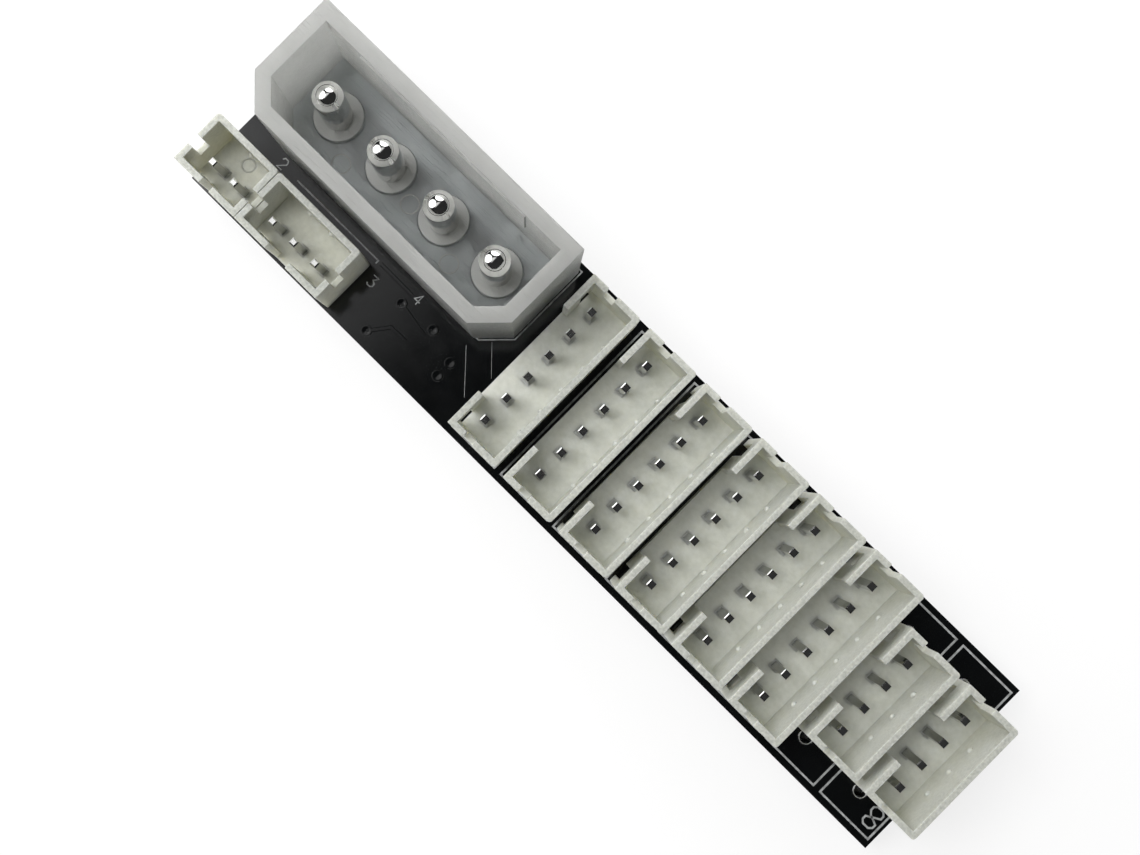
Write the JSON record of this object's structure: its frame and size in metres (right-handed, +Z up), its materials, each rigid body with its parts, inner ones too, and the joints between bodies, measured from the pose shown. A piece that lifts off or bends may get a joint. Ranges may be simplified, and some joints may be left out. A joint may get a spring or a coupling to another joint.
{
  "type": "argb fan hub",
  "caption": "Narrow black circuit board that shares power and light signals among fans, with a clear keyed power header, small control headers and rows of white plug sockets.",
  "frame": {"origin": "middle of the board's outline, at the level of the pin tails that it rests on", "axes": "+X along the board from the power header to the far ports, +Y across it, +Z up out of the headers"},
  "size_m": [0.0656, 0.015, 0.0146],
  "materials": {
    "board": "glossy black solder mask on glass-epoxy board",
    "clear_nylon": "cloudy see-through natural nylon",
    "white_nylon": "slightly see-through grey-white nylon",
    "power_pin": "bright tin plating on brass",
    "tinned_pin": "tin plating on brass",
    "solder": "shiny tin solder",
    "legend_ink": "thin white printed lines on the board"
  },
  "bodies": {
    "root": {"circuit_board": "board", "power_header_shroud": "clear_nylon", "power_header_floor": "clear_nylon", "power_pin_1": "power_pin", "power_pin_2": "power_pin", "power_pin_3": "power_pin", "power_pin_4": "power_pin", "power_header_solder": "solder", "two_pin_header_housing": "white_nylon", "two_pin_header_pins": "tinned_pin", "two_pin_header_solder": "solder", "three_pin_header_housing": "white_nylon", "three_pin_header_pins": "tinned_pin", "three_pin_header_solder": "solder", "fan_port_1_housing": "white_nylon", "fan_port_1_pins": "tinned_pin", "fan_port_1_solder": "solder", "fan_port_2_housing": "white_nylon", "fan_port_2_pins": "tinned_pin", "fan_port_2_solder": "solder", "fan_port_3_housing": "white_nylon", "fan_port_3_pins": "tinned_pin", "fan_port_3_solder": "solder", "fan_port_4_housing": "white_nylon", "fan_port_4_pins": "tinned_pin", "fan_port_4_solder": "solder", "fan_port_5_housing": "white_nylon", "fan_port_5_pins": "tinned_pin", "fan_port_5_solder": "solder", "fan_port_6_housing": "white_nylon", "fan_port_6_pins": "tinned_pin", "fan_port_6_solder": "solder", "four_pin_port_1_housing": "white_nylon", "four_pin_port_1_pins": "tinned_pin", "four_pin_port_1_solder": "solder", "four_pin_port_2_housing": "white_nylon", "four_pin_port_2_pins": "tinned_pin", "four_pin_port_2_solder": "solder"}
  },
  "joints": []
}
